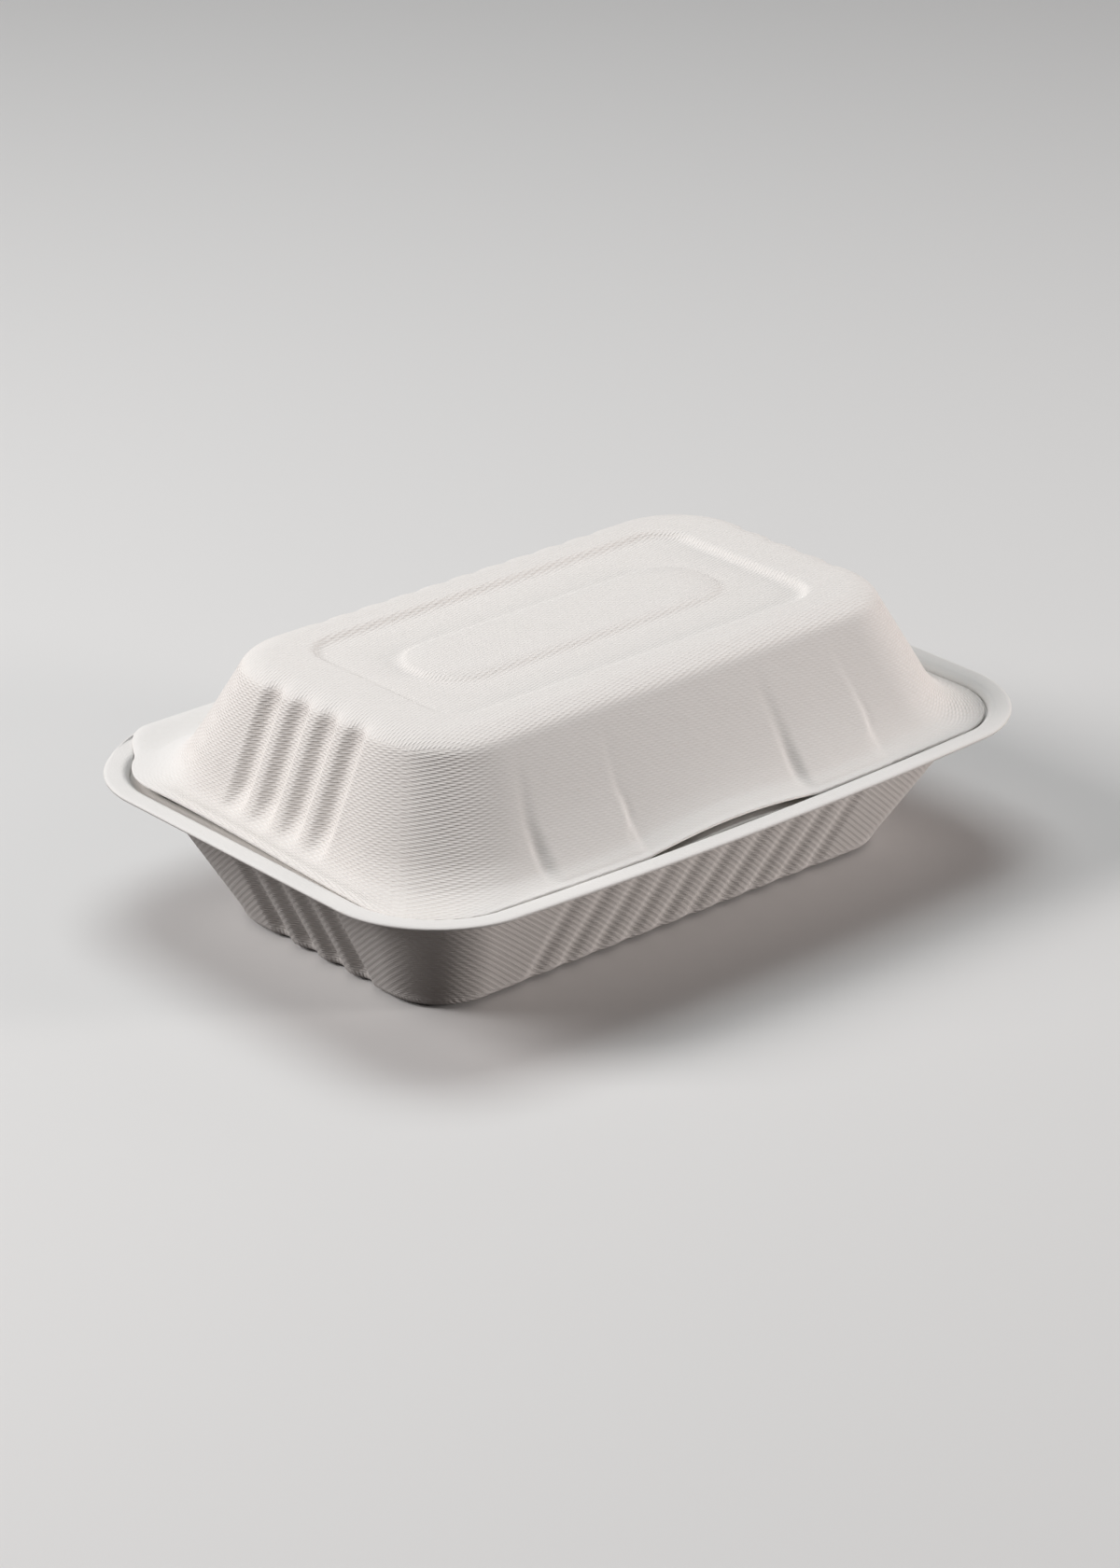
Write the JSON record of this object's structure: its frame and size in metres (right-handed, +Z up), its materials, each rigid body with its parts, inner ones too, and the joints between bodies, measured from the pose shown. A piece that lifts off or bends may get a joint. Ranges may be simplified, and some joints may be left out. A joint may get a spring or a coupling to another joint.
{
  "type": "hinged takeaway food container",
  "caption": "Moulded plant-fibre takeaway box: a fluted rectangular tray with a rimmed mouth and a matching domed lid joined to it by a fold along the back.",
  "frame": {"origin": "centre of the closed box's footprint, on the surface that it stands on", "axes": "+X along the box's length, -Y towards the opening front with the locking pads, +Z up"},
  "size_m": [0.23, 0.1562, 0.076],
  "materials": {
    "fibre": "matt moulded fibre, mesh-textured outside and smooth on the rim and inside"
  },
  "bodies": {
    "tray": {"base_tray": "fibre"},
    "lid": {"lid": "fibre"}
  },
  "joints": [
    {"name": "lid_hinge", "type": "hinge", "parent": "tray", "child": "lid", "pos_m": [0, 0.07815, 0.0431], "axis": [-1, 0, 0], "range_deg": [0, 180]}
  ]
}
